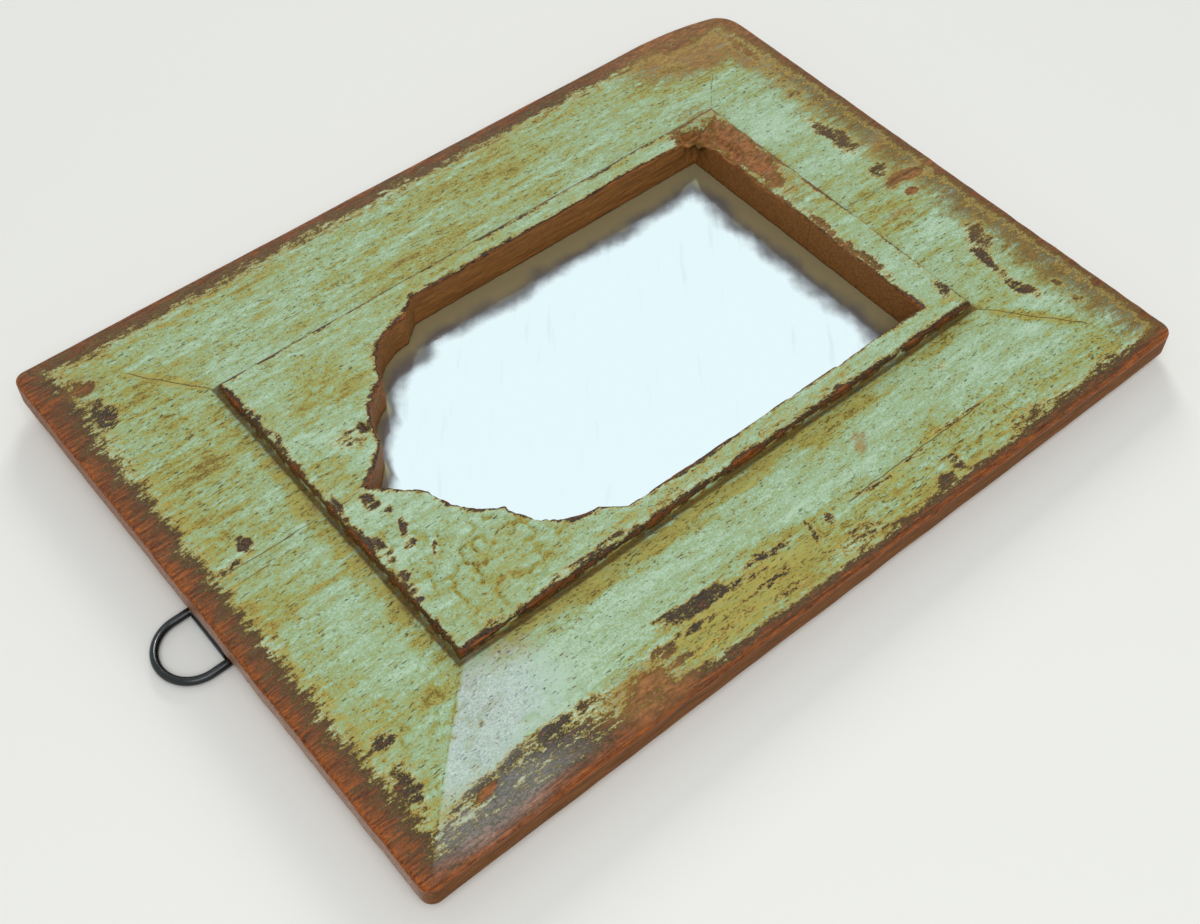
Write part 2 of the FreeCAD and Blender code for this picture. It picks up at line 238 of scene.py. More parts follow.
def fbm(points, size, seed, octaves=3):
    """Layered noise from about -1 to 1, with features of one size in mm or one along each axis."""
    lattice = np.random.default_rng(seed).uniform(-0.8, 0.8, (LATTICE, LATTICE, LATTICE))
    total = np.zeros(len(points))
    for octave in range(octaves):
        at = points / np.array(size) * 2 ** octave + 13.7 * octave
        cell = np.floor(at).astype(int)
        part = at - cell
        part = part * part * (3 - 2 * part)
        for corner in np.ndindex(2, 2, 2):
            i, j, k = ((cell + corner) % LATTICE).T
            total += np.prod(np.where(corner, part, 1 - part), axis=1) * lattice[i, j, k] / 2 ** octave
    return total


def near(points, targets):
    """Distance in plan from each point to the closest of the targets."""
    tree = kdtree.KDTree(len(targets))
    for i, (x, z) in enumerate(targets):
        tree.insert((x, 0, z), i)
    tree.balance()
    return np.array([tree.find((x, 0, z))[2] for x, z in points])


def patches(plan, shapes, soft=1.0):
    """The strongest of some oval patches: x, z, half width, half height, strength, tilt if any."""
    most = np.zeros(len(plan))
    for x, z, width, height, strength, *tilt in shapes:
        turn = math.radians(sum(tilt))
        dx, dz = plan[:, 0] - x, plan[:, 1] - z
        u = (dx * math.cos(turn) + dz * math.sin(turn)) / width
        v = (dz * math.cos(turn) - dx * math.sin(turn)) / height
        most = np.maximum(most, strength * np.clip(1.5 - np.hypot(u, v) / soft, 0, 1))
    return most


# How wide the paint is worn off along each edge, at places along it
BAND_TOP = ((-120, 12), (-60, 9.5), (0, 9.5), (60, 10), (90, 12), (120, 11))
BAND_FOOT = ((-120, 6), (-60, 5), (0, 6), (60, 5.5), (120, 10))
BAND_LEFT = ((-162, 8), (-140, 5), (-60, 4), (0, 3.6), (55, 4.5), (75, 8), (140, 8), (162, 9))
BAND_RIGHT = ((-162, 14), (-115, 10), (-60, 9), (60, 8.5), (162, 9))
# Share of that width against how far through the finish it is worn
BAND_SHARE = (0, 0.09, 0.2, 0.55, 0.8, 1, 1.25, 1.6, 2.3)
BAND_WEAR = (1.12, 1.02, 0.91, 0.77, 0.61, 0.48, 0.34, 0.2, 0)
# How hard hands have rubbed the top, foot, left and right edges
EDGE_RUB = (1, 0.86, 1, 0.88)

WORN_PATCHES = (
    # Top margin
    (-91, 146.5, 9, 5, 0.6), (-75, 145, 4.2, 6, 0.56), (-23.5, 149, 1.8, 2, 0.5),
    (3.5, 145, 2.4, 6, 0.56), (7.5, 138, 5.2, 2.2, 0.58), (85, 146.5, 9.5, 5, 0.6, -12),
    (99, 147, 4.5, 5.5, 0.66), (60, 149, 8, 2.5, 0.42), (-50, 150, 12, 2, 0.42),
    # Left margin
    (-112, 112, 10, 40, 0.57), (-114, 144, 7, 16, 0.55), (-108, 152, 7, 6, 0.46),
    (-105, 126, 3.6, 20, 0.52), (-104, 98, 3.4, 18, 0.52), (-112, 73, 8, 12, 0.66),
    (-104, 63, 3.4, 9, 0.57, -6), (-110, 58, 2.4, 8, 0.53), (-97, 46, 1.8, 15, 0.56, -4),
    (-100.5, 38, 2.2, 21, 0.58, -5), (-103.5, 50, 1.6, 12, 0.55, -4), (-99, 17, 1.9, 13, 0.56, -4),
    (-102.5, 22, 1.2, 9, 0.5), (-94.5, 54, 1.2, 7, 0.5, -6), (-110, 40, 2.4, 16, 0.42),
    (-106, 20, 2, 14, 0.42), (-101.5, -2, 4.8, 1.6, 0.5), (-101.5, -10, 2.6, 2.4, 0.54),
    (-115, -50, 6, 5.5, 0.64), (-110, -58, 4.4, 3.4, 0.58), (-81.6, -85, 1.3, 3, 0.44),
    (-106.6, 131, 2, 5.4, 0.88, 12), (-88, 118, 1.3, 1.6, 0.5), (-113, -12, 4.4, 14, 0.46),
    (-114, -100, 4, 24, 0.42), (-99.6, -30, 1, 9, 0.55), (-99.2, -50, 0.9, 9, 0.5),
    (-99.5, -73, 1.2, 14, 0.56), (-112, 20, 3, 10, 0.42), (-116, -130, 4, 12, 0.48),
    # Bottom margin
    (-72, -135.5, 10.5, 3.2, 0.6, 8), (-54, -136, 8, 3.2, 0.6, -12), (-46, -143, 9.5, 4.8, 0.58, -35),
    (-12.5, -142, 2, 3.2, 0.78), (-5, -147, 2.6, 13, 0.72), (3.5, -140, 4.8, 5.4, 0.57),
    (28, -141, 14, 5.2, 0.58), (-88, -146, 2.8, 2.8, 0.52), (-80, -147, 3.4, 2.4, 0.52),
    (60, -148, 20, 5, 0.38),
    # Lower right corner
    (112, -134, 8, 22, 0.62, -12), (90, -151, 14, 4, 0.52), (99, -120, 5, 7, 0.46),
    # Field
    (-25, 99, 4, 2.4, 0.56, -18), (-4, 100, 4.6, 3, 0.6), (-43, 108.4, 5, 3, 0.62),
    (-19.5, 97, 4.4, 1.4, 0.62, -33), (-10.8, 96.4, 2.2, 1.8, 0.6), (-26, 106, 3, 2.2, 0.58),
    (-21, 107.5, 4, 1.8, 0.58), (-34, 108.6, 3.4, 2.2, 0.6), (-33, 94, 5, 1, 0.52, -20),
    (-10, 109.5, 20, 1.8, 0.58), (40, -104.5, 24, 7.5, 0.86, -3), (58, -97, 8, 10, 0.9),
    (-58, -108, 7, 2.8, 0.56), (-20, -98.5, 28, 2.6, 0.6), (21.5, 84, 4, 2.4, 0.7),
    (-66, 60, 1.8, 40, 0.48), (-63, -20, 5, 84, 0.27), (40, 109.5, 22, 1.8, 0.56), (20, 90, 5, 8, 0.42),
    (66, -40, 1.6, 50, 0.44),
)

# Where the paint has yellowed
STAIN_PATCHES = (
    (-72, 20, 3.4, 100, 1.2), (-110, -30, 9, 100, 0.9), (-107, 30, 8, 42, 1.2), (-100, -50, 2.6, 42, 1),
    (0, 151, 110, 2.5, 0.9), (106, 0, 6, 150, 0.7), (62, 140, 56, 18, 0.8), (-40, 146, 60, 9, 0.5),
    (12, 104, 10, 6, 0.9), (-45, 85, 22, 26, 0.2), (90, 10, 20, 110, 0.6), (45, 88, 18, 18, 0.45),
    (0, 115.2, 66, 3.6, 1.15), (-22, -128, 24, 13, 0.6), (0, -150, 110, 6, 0.8),
    (95, -128, 18, 30, 0.9, -20), (30, -106, 36, 8, 0.6), (-63, -20, 4, 90, 0.45),
    (84, 123, 16, 2.4, 1.3, 37), (-85, -128, 18, 2, 1.3, 42), (-110, -140, 8, 20, 0.8),
    (63, 20, 3, 70, 0.4), (-18, -129, 3, 8, 0.7),
)

# How wide old dirt lies along the top, foot, left and right edges, and how thick, and where else it lies
GRIME = ((15, 0.8), (27, 1.1), (12, 0.5), (18, 0.8))
GRIME_PATCHES = (
    (104, -132, 14, 28, 1, -12), (90, -150, 18, 7, 0.9), (-18, -129, 2.4, 8, 0.6),
    (-5, -147, 3, 13, 0.8), (14, -146, 3, 7, 0.5, 20), (40, -104, 32, 9, 0.7, -3),
    (-112, 74, 9, 14, 0.8), (-63, -20, 4, 84, 0.2), (-85, -40, 3, 5, 0.6), (99, 147, 7, 8, 0.6),
    (-2, 112, 66, 2, 0.5),
)

# Where clean orange wood shows in a fresh break
RAW_PATCHES = (
    (40, -104.5, 32, 11, 1, -3), (58, -97, 11, 13, 1), (-12.5, -142, 2.4, 3.6, 1),
    (-5, -147, 4, 14, 0.9), (-106.6, 131, 1.5, 4.6, 0.9, 12), (-111, 74, 9, 14, 0.9),
    (-20, -98.6, 26, 1.8, 0.8), (14, -146, 4, 9, 0.7, 20), (-18, -129, 4, 10, 0.8), (-85, -40, 5, 7, 1),
    (99, 147, 3, 4, 0.5), (-101, 109, 1, 1.6, 0.9), (106, -134, 18, 32, 0.9, -12), (90, -150, 20, 9, 0.8),
)

# Where wood is broken away: x, z, half width, half height and depth in mm, and tilt if any
GOUGES = ((59.5, -97.5, 7, 7, 5), (46, -100, 9, 3.4, 2.2), (21.5, 82.6, 3.2, 1.6, 1.4),
          (-106.6, 131, 1.4, 4.6, 0.5, 12), (-12.5, -142, 1.6, 2.6, 0.5), (98, 147, 4, 5, 0.35))
# A hole rotted into the far lower corner of the opening, by how far behind the face, its size and depth
HOLE_BEHIND = 6.0
HOLE_SIZE = 6.0
HOLE_DEPTH = 2.4

# Hairline cracks in the paint from x, z to x, z, and how open: over the seam, and where two bevels meet
CRACKS = ((3.7, 153, 2.2, 113, 0.8), (-2.2, 148, -1.6, 115, 0.7), (-0.4, 111, -0.2, 98, 0.8),
          (-4.2, -113, -4.8, -162, 0.8), (-68, -113, -103, -144, 1), (68, 111.5, 99, 134, 1),
          (-68, 111.5, -112, 154, 0.5), (68, -112.5, 92, -136, 0.6), (-99.6, -18, -99.2, -90, 0.9))


def crack_lines(plan, wobble):
    """Distance to the nearest crack, with a sign that changes across each, and how open it is there."""
    nearest, sign, open_here = np.full(len(plan), 99.0), np.ones(len(plan)), np.zeros(len(plan))
    for x1, z1, x2, z2, most in CRACKS:
        start, way = np.array((x1, z1)), np.array((x2 - x1, z2 - z1), float)
        length = np.linalg.norm(way)
        way /= length
        along = (plan - start) @ way
        aside = (plan - start) @ np.array((-way[1], way[0])) + wobble
        ends = np.interp(along, (-1, 3, length - 8, length), (0, most, most, 0))
        closer = np.abs(aside) < nearest
        open_here = np.where(closer, ends, open_here)
        nearest = np.minimum(nearest, np.abs(aside))
        sign = sign * np.where(aside > 0, 1, -1)
    return sign * np.minimum(nearest, 9), open_here


# Wear by distance in mm from the arch's rim, in from the field's edge, and down the step
RIM_WEAR = ((0, 0.4, 0.9, 1.8, 3.5), (0.92, 0.70, 0.50, 0.36, 0.0))
FIELD_WEAR = ((0, 0.6, 1.2, 2.2, 4.0), (0.84, 0.68, 0.46, 0.26, 0.0))
STEP_WEAR = ((0.4, 1.6, 2.6), (0.88, 0.76, 0.50))
# Wear of wood that was never painted
BARE_WEAR = 0.84
# Lumps of thick paint with hollows between them, and a painted sheen on the left bevel: a pale highlight in
# the colour
LUMP_PATCHES = ((-46, 84, 18, 28, 1.0, 20), (-34, 100, 22, 9, 0.8), (40, 92, 20, 14, 0.5, -20),
                (-86, 125, 20, 30, 0.7))
HOLLOW_WIDTH = 0.24
HOLLOW_DEPTH = 1.1
PAINTED_SHEEN_PATCHES = ((-86, 125, 20, 34, 1.0), (-112, 128, 9, 34, 0.8))
GLUE_LINE = 0.8
PAINT_THICKNESS = 0.16
# Depth of splinters along the rim and of chips along the step, by distance from each
RIM_SPLINTERS = ((0, 0.8, 2.0), (1.1, 0.6, 0))
STEP_CHIPS = ((0, 0.5, 1.6), (0.8, 0.5, 0))
# How far the opening's walls are eaten back by small and broad bites, by depth behind the face
SMALL_BITES = ((0, 3.0), (0.55, 0))
BROAD_BITES = ((0, 8.0), (0.5, 0))
WALL_START = 0.25
EDGE_RUBBED = 0.35
# Dirt and painted shade in the quirk at the foot of the step, by depth down it and by distance out over the
# bevel
STEP_DIRT_AND_SHADE = ((1.9, 3.0, 4.0), (0, 0.5, 0.95))
BEVEL_DIRT_AND_SHADE = ((1.5, 2.4, 4.5), (0.62, 0.30, 0))


def cells(index):
    """Quads between the neighbours in a grid of points."""
    corners = [index[:-1, :-1], index[:-1, 1:], index[1:, 1:], index[1:, :-1]]
    return np.stack(corners, -1).reshape(-1, 4).tolist()


def new_mesh(name, verts, edges=(), faces=(), **marks):
    """A mesh, with named numbers at its points for a material to read."""
    mesh = bpy.data.meshes.new(name)
    mesh.from_pydata(np.array(verts).tolist(), edges, faces)
    for mark, values in marks.items():
        mesh.attributes.new(mark, "FLOAT", "POINT").data.foreach_set("value", np.asarray(values, float))
    return mesh


def in_scene(name, data):
    made = bpy.data.objects.new(name, data)
    bpy.context.scene.collection.objects.link(made)
    return made


def board_piece(name, hand):
    """One board as a closed mesh, with its wear in the shape and as marks for the paint."""
    rows = board_rows(hand)
    rim = rows[0][1]
    edge = next(row[1] for row in rows if row[0] == "edge")
    kinds = np.repeat([row[0] for row in rows], len(rim))
    plan = np.concatenate([row[1] for row in rows]) * (hand, 1)
    depth = np.concatenate([row[2] for row in rows])
    x, z = plan[:, 0], plan[:, 1]
    flat = np.stack([x, depth * 0, z], 1)
    solid = np.stack([x, depth, z], 1)
    front = np.isin(kinds, ("rim", "field", "step", "bevel", "arris"))

    # Distances that the wear follows, and a drift that makes its outlines uneven
    from_rim, from_edge = near(plan, rim * (hand, 1)), near(plan, edge * (hand, 1))
    step_gap = np.max([np.abs(x) - FIELD_SIDE, z - FIELD_TOP, FIELD_FOOT - z], axis=0)
    gaps = np.stack([TOP - z, z - FOOT, x + SIDE, SIDE - x])
    gaps = np.where(gaps < from_edge + 1.0, np.minimum(gaps, from_edge), gaps)
    wander = fbm(flat, (9, 9, 16), 1)
    drift = wander[:, None]

    # Wear: 0 is whole paint, about 0.5 the dark ground under it, 0.7 brown wood and 1 a polished arris
    layers = []
    for rub, gap, at, band in zip(EDGE_RUB, gaps, (x, x, z, z), (BAND_TOP, BAND_FOOT, BAND_LEFT, BAND_RIGHT)):
        layers.append(rub * np.interp(gap / np.interp(at, *zip(*band)), BAND_SHARE, BAND_WEAR))
    layers.append(np.interp(from_rim, *RIM_WEAR) + 0.15 * wander)
    broken = fbm(flat, 7, 16)
    field_wear = np.interp(-step_gap, *FIELD_WEAR) + 0.27 * broken
    step_wear = np.interp(depth, *STEP_WEAR) + 0.24 * broken
    layers.append(np.where(step_gap > -0.05, step_wear, field_wear) * (step_gap < 0.45))
    layers.append(patches(plan + 2.2 * np.stack([wander, fbm(flat, (7, 7, 12), 2)], 1), WORN_PATCHES))
    wear = np.where(front, np.max(layers, axis=0), BARE_WEAR)

    # Stains, clean wood, dirt, and cracks. Behind, only the glue line of the seam shows
    stain = patches(plan + 3.0 * drift, STAIN_PATCHES, 1.3)
    raw = patches(plan + 1.5 * drift, RAW_PATCHES) * front
    layers = [np.clip(1.1 - gap / wide, 0, 1) * thick for gap, (wide, thick) in zip(gaps, GRIME)]
    layers.append(patches(plan + 3.0 * drift, GRIME_PATCHES, 1.2))
    grime = np.max(layers, axis=0) * front
    crack, crack_open = crack_lines(plan, 0.5 * fbm(flat, 5, 12))
    crack = np.where(front, crack, x - seam_x(z))
    crack_open = np.where(front, crack_open, GLUE_LINE * (kinds == "back"))
    # Narrow hollows between lumps of thick paint, darkened in the colour: partly dirt, partly painted shade
    hollow = np.clip(1 - np.abs(fbm(flat, 4.6, 5, 2)) / HOLLOW_WIDTH, 0, 1)
    hollow *= patches(plan, LUMP_PATCHES) * np.clip(0.7 + 1.5 * fbm(flat, 5, 19), 0, 1) * front
    # The painted sheen, a highlight laid into the colour, ends on the line where the left bevel meets the top
    # one
    in_left = np.clip((TOP - z - (x + SIDE)) / 2.0 + 0.6, 0, 1)
    bloom = patches(plan + 2.0 * drift, PAINTED_SHEEN_PATCHES) * in_left * front * (1 - raw) * (1 - 0.6 * hollow)

    # Relief: waves of the planed wood, lumpy paint, flaked patches, splintered rim and broken places
    relief = 0.12 * fbm(flat, (14, 14, 40), 3) + 0.12 * fbm(flat, (2.6, 2.6, 8), 4) - HOLLOW_DEPTH * hollow
    relief -= PAINT_THICKNESS * np.clip((wear - 0.42) / 0.16, 0, 1)
    relief -= raw * np.clip(0.5 + 1.1 * fbm(flat, (3.0, 3.0, 7), 13), 0, 2) * (step_gap < 0)
    bite = np.clip(fbm(flat, (2.2, 2.2, 4.0), 6) - 0.05, 0, 1)
    chip = np.clip(fbm(flat, (2.4, 2.4, 5.0), 7) - 0.1, 0, 1) * np.interp(np.abs(step_gap), *STEP_CHIPS)
    chip *= (kinds == "step") | (kinds == "field") & (step_gap > STEP_PROFILE[0][0])
    gouge = patches(plan + 1.2 * drift, GOUGES, 0.9) * (0.75 + 0.5 * fbm(flat, (3, 3, 6), 8))
    sink = np.where(front, bite * np.interp(from_rim, *RIM_SPLINTERS) + gouge - relief, 0) + chip
    depth = np.maximum(0, depth + np.where(kinds == "arris", 0.4, 1.0) * sink)

    # The walls of the opening start at the rim as it is after the chips
    grid = depth.reshape(len(rows), len(rim))
    walls = [i for i, row in enumerate(rows) if row[0] == "wall"]
    ledge = GLASS_FACE - FACE
    for i in walls:
        share = (ledge - rows[i][2]) / (ledge - RIM_ROUND)
        grid[i] = ledge + (grid[walls[-1] + 1] + WALL_START - ledge) * share
    solid[:, 1] = grid.ravel()

    # Saw marks on the opening's walls and wear on the outer edge go along the normals in plan
    chew = 0.22 * fbm(solid, (6, 6, 3), 9) + 0.08 * fbm(solid, (1.2, 5, 1.2), 10)
    eaten = bite * np.interp(solid[:, 1], *SMALL_BITES)
    eaten += np.clip(fbm(flat, (8, 8, 10), 14), 0, 1) * np.interp(solid[:, 1], *BROAD_BITES)
    corner_gap = np.hypot(np.hypot(x - OPENING_SIDE, z - SILL), solid[:, 1] - HOLE_BEHIND)
    hole = np.clip(1 - corner_gap / HOLE_SIZE + 0.4 * fbm(solid, 2, 15), 0, 1)
    push = np.where(kinds == "wall", np.minimum(0.2, chew) + eaten + HOLE_DEPTH * hole, 0)
    push = np.where(kinds == "rim", eaten, push)
    rubbed = EDGE_RUBBED * np.abs(fbm(flat, (10, 10, 26), 11)) * np.isin(kinds, ("arris", "edge", "heel"))
    for loop, much in ((rim, push), (edge, -rubbed)):
        solid[:, [0, 2]] += np.tile(outward(loop), (len(rows), 1)) * (hand, 1) * much[:, None]

    verts = np.stack([solid[:, 0], FACE + solid[:, 1], solid[:, 2]], 1) * MM
    index = np.arange(len(verts)).reshape(len(rows), len(rim))
    # Darker in the quirk at the step's foot and in the rotted hole: partly dirt, partly painted shade
    quirk_dirt_and_shade = np.where(kinds == "step", np.interp(solid[:, 1], *STEP_DIRT_AND_SHADE), 0)
    quirk_dirt_and_shade = np.where(kinds == "bevel", np.interp(step_gap, *BEVEL_DIRT_AND_SHADE), quirk_dirt_and_shade)
    mesh = new_mesh(
        name, verts, faces=cells(np.concatenate([index, index[:1]])), wear=wear, stain=stain, grime=grime,
        raw=raw, bloom=bloom, hollow=hollow, dirt=np.maximum(quirk_dirt_and_shade, hole), crack=crack, crack_open=crack_open,
        wall=kinds == "wall", side=np.isin(kinds, ("edge", "heel")), back=np.isin(kinds, ("back", "rebate")))
    build = bmesh.new()
    build.from_mesh(mesh)
    build.verts.ensure_lookup_table()
    for column in (0, -1):
        build.faces.new([build.verts[i] for i in index[:, column]])
    bmesh.ops.recalc_face_normals(build, faces=build.faces)
    for face in build.faces:
        face.smooth = len(face.verts) == 4
    build.to_mesh(mesh)
    build.free()
    return in_scene(name, mesh)


def linear(code):
    """A hex colour as the eye sees it, turned to linear light."""
    parts = [int(code[i:i + 2], 16) / 255 for i in (1, 3, 5)]
    return [c / 12.92 if c <= 0.04045 else ((c + 0.055) / 1.055) ** 2.4 for c in parts] + [1.0]


def feed(tree, node, inputs):
    """Links each input that is given as a socket, and sets a hex colour or any other value."""
    for key, value in inputs.items():
        if isinstance(value, bpy.types.NodeSocket):
            tree.links.new(value, node.inputs[key])
        else:
            node.inputs[key].default_value = linear(value) if isinstance(value, str) else value


def add(tree, kind, inputs=None, out=0, **settings):
    """Adds a node with its settings and inputs, and gives one output, or the node if out is None."""
    made = tree.nodes.new(kind)
    for key, value in settings.items():
        setattr(made, key, value)
    feed(tree, made, inputs or {})
    return made if out is None else made.outputs[out]


def new_material(name):
    """A material with its tree, its shader and the object's own coordinates."""
    material = bpy.data.materials.new(name)
    material.use_nodes = True
    tree = material.node_tree
    return material, tree, tree.nodes["Principled BSDF"], add(tree, "ShaderNodeTexCoord", out="Object")


def per(size):
    """The noise scale that gives features of a size in mm."""
    return 1 / (size * MM)


def cover(under, over, value, low, high, much=1.0):
    """One colour laid over another where a value rises past a range, and the mask of that."""
    tree = value.id_data
    rise = {"Value": value, "From Min": low, "From Max": high, "To Max": much}
    mask = add(tree, "ShaderNodeMapRange", rise, interpolation_type="SMOOTHSTEP")
    return add(tree, "ShaderNodeMix", {0: mask, 6: under, 7: over}, 2, data_type="RGBA"), mask


# Old brushed oil paint on hardwood: mint green gone olive in patches, worn through an ochre and a
# near black ground to brown wood, and polished to orange where hands rub the arrises.
painted_wood, tree, shader, place = new_material("worn_green_paint_on_hardwood")
# Patterns by size across the grain in mm, how many times longer they are along it, detail and roughness
patterns = {}
for pattern, size, longer, detail, rough in (
    ("cloud", 24, 3.0, 3, 0.5), ("blotch", 4.5, 4.5, 5, 0.6), ("flake", 1.4, 2.6, 5, 0.7),
    ("speck", 0.5, 1.7, 4, 0.7), ("pore", 0.5, 4.5, 2, 0.5), ("grain", 0.7, 18, 4, 0.65),
    ("lump", 2.6, 1.4, 4, 0.6), ("pit", 0.9, 1.2, 2, 0.5), ("brush", 2.0, 11, 5, 0.65),
):
    stretch = add(tree, "ShaderNodeMapping", {"Vector": place, "Scale": (1, 1, 1 / longer)})
    look = {"Vector": stretch, "Scale": per(size), "Detail": detail, "Roughness": rough}
    patterns[pattern] = add(tree, "ShaderNodeTexNoise", look)
marks = {}
for mark in ("wear", "stain", "grime", "raw", "bloom", "hollow", "dirt", "crack", "crack_open", "wall",
             "side", "back"):
    marks[mark] = add(tree, "ShaderNodeAttribute", out="Fac", attribute_name=mark)


def blend_sum(base, **shares):
    """A value plus shares of marks and of patterns, each pattern counted from its middle."""
    for part, much in shares.items():
        value = marks.get(part)
        if part in patterns:
            value = add(tree, "ShaderNodeMath", {0: patterns[part], 1: -0.5}, operation="ADD")
        base = add(tree, "ShaderNodeMath", {0: value, 1: much, 2: base}, operation="MULTIPLY_ADD")
    return base


def streaked(dark, light, pattern="grain"):
    """Two tones drawn out along a pattern."""
    share = add(tree, "ShaderNodeMapRange", {"Value": patterns[pattern], "From Min": 0.36, "From Max": 0.64})
    return add(tree, "ShaderNodeMix", {0: share, 6: dark, 7: light}, 2, data_type="RGBA")


def marked(mark, under, *tones):
    """Two streaked tones in place of a colour where a mark is set."""
    return add(tree, "ShaderNodeMix", {0: marks[mark], 6: under, 7: streaked(*tones)}, 2, data_type="RGBA")


# Whole paint: mint to ochre by broad patches and by fine specks
PAINT_TONES = ("#bad6b8", "#a6c4a0", "#9db585", "#a1a65a", "#a3963e", "#76642d")
yellowing = blend_sum(0.38, brush=0.9, blotch=0.8, flake=0.7)
yellowing = add(tree, "ShaderNodeMath", {0: marks["stain"], 1: yellowing, 2: 0.27}, operation="MULTIPLY_ADD")
# The hollows turn the tone to dark olive: partly dirt, partly painted shade that shows the lumps
tint = blend_sum(yellowing, cloud=0.9, blotch=0.8, brush=0.5, flake=1.1, speck=1.6, hollow=0.66)
ramp = add(tree, "ShaderNodeValToRGB", {"Fac": tint}, None)
last = len(PAINT_TONES) - 1
for i in range(1, last):
    ramp.color_ramp.elements.new(i / last)
for stop, tone in zip(ramp.color_ramp.elements, PAINT_TONES):
    stop.color = linear(tone)
colour = ramp.outputs["Color"]

# Layers from the paint up: name, tone, where it lies, from and to which value, and strength. The dark
# ground is near black in chips, olive brown along rubbed edges and orange round raw wood.
dirt = marked("raw", streaked("#573d18", "#8c6a2e", "flake"), "#80582a", "#b28646", "flake")
ground = marked("grime", streaked("#211b15", "#4a4031", "speck"), "#563d1c", "#86652f", "speck")
ground = marked("raw", ground, "#6d471c", "#a0723a", "flake")
wood = marked("raw", streaked("#4b2710", "#965624"), "#663b18", "#b57b45", "flake")
pores = blend_sum(0.5, stain=0.04, pore=1.0, flake=0.45)
pits = blend_sum(0.5, stain=0.03, pit=1.0, blotch=0.5)
grimy = blend_sum(marks["grime"], blotch=0.9, flake=1.0, speck=0.5)
ragged = blend_sum(marks["wear"], blotch=0.8, flake=1.1, grain=0.2, speck=1.0)
for layer, over, value, low, high, much in (
    ("glaze", streaked("#9a923e", "#b8b05a", "brush"), blend_sum(marks["stain"], brush=0.8), 0.9, 1.2, 0.7),
    # Painted sheen: a pale highlight laid into the colour of the left bevel
    ("sheen_highlight", streaked("#a5c3b6", "#dcede6", "speck"), blend_sum(marks["bloom"], flake=1.3), 0.2, 1.0, 0.85),
    ("pores", "#453721", pores, 0.65, 0.73, 0.88),
    ("pits", streaked("#4f3c1c", "#94792f", "speck"), pits, 0.66, 0.74, 0.8),
    ("dirt", dirt, grimy, 0.22, 0.95, 0.9),
    ("ochre", streaked("#8b722a", "#d0b75c", "speck"), ragged, 0.30, 0.43, 0.95),
    ("ground", ground, ragged, 0.47, 0.53, 1.0),
    ("wood", wood, ragged, 0.66, 0.84, 1.0),
    ("polish", streaked("#783c12", "#b86624"), ragged, 0.95, 1.12, 1.0),
):
    colour, marks[layer + "_mask"] = cover(colour, over, value, low, high, much)

# Bare wood of the walls, sides and back, then dirt and painted shade in the quirk, the cracks, and a veil of
# painted sheen
colour = marked("wall", colour, "#69411c", "#91602f")
colour = marked("side", colour, "#5a3611", "#9a602b")
colour = marked("back", colour, "#57452f", "#745d43")
# The dirt mark darkens the quirk and the hole: partly dirt, partly painted shade
dirt_and_shade = blend_sum(marks["dirt"], flake=0.8, blotch=0.8)
colour, _ = cover(colour, streaked("#2a1e09", "#75591b", "flake"), dirt_and_shade, 0.15, 1.0, 0.92)
line = add(tree, "ShaderNodeMath", {0: marks["crack"]}, operation="ABSOLUTE")
line = add(tree, "ShaderNodeMapRange", {"Value": line, "From Min": 0.35, "From Max": 0.08})
line = add(tree, "ShaderNodeMath", {0: line, 1: marks["crack_open"]}, operation="MULTIPLY")
line = blend_sum(line, flake=1.2)
colour, marks["crack_mask"] = cover(colour, streaked("#3b2c17", "#7d6330", "flake"), line, 0.35, 0.75, 0.85)
# A pale veil of painted sheen over the worn paint and dark ground of the left bevel
sheen_veil = blend_sum(marks["bloom"], flake=0.8)
colour, _ = cover(colour, streaked("#949a96", "#cdd8d3", "speck"), sheen_veil, 0.3, 1.2, 0.45)

BARE_ROUGHER = 0.35
PAINT_RELIEF = 0.36
gloss = add(tree, "ShaderNodeMapRange", {"Value": patterns["flake"], "To Min": 0.12, "To Max": 0.42})
gloss = blend_sum(gloss, wall=BARE_ROUGHER, side=BARE_ROUGHER, back=BARE_ROUGHER)
lift = blend_sum(1.0, crack_mask=-0.5, ground_mask=-0.6, pores_mask=-0.35, lump=1.4, brush=1.0, flake=0.9,
                 grain=0.4, speck=0.4)
bump = add(tree, "ShaderNodeBump", {"Height": lift, "Distance": PAINT_RELIEF * MM})
feed(tree, shader, {"Base Color": colour, "Roughness": gloss, "Normal": bump, "Specular IOR Level": 0.16})

for name, hand in (("board_left", -1), ("board_right", 1)):
    piece = board_piece("painted_" + name, hand)
    piece.data.materials.append(painted_wood)
    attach(piece, "mirror")
    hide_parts(name)


# The pegs across the seam
# Four pegs of split bamboo in blind holes, driven when the boards were glued. They are hidden in the
# panel. The finish has straight pale fibres along each peg.
bamboo, tree, shader, place = new_material("split_bamboo")
lengthwise = add(tree, "ShaderNodeMapping", {"Vector": place, "Scale": (0.06, 1, 1)})
fibre = add(tree, "ShaderNodeTexNoise", {"Vector": lengthwise, "Scale": per(0.5), "Detail": 3})
tone = add(tree, "ShaderNodeMix", {0: fibre, 6: "#8f6f3c", 7: "#d2b377"}, 2, data_type="RGBA")
feed(tree, shader, {"Base Color": tone, "Roughness": 0.6})


def finish_node(name, material):
    """Gives a piece that keeps its modelled shape its finish."""
    mesh = nodes[name].data
    mesh.materials.clear()
    mesh.materials.append(material)


finish_node("joint_pegs", bamboo)


# The mirror glass
# Thin silvered sheet glass laid in the rebate from behind. The silvering is dull and clouded along the
# walls of the opening, with a painted reflection of the brown walls in the dust next to them, and the
# middle has been wiped clean, with faint streaks left by the cloth.
GLASS_CELL = 1.4
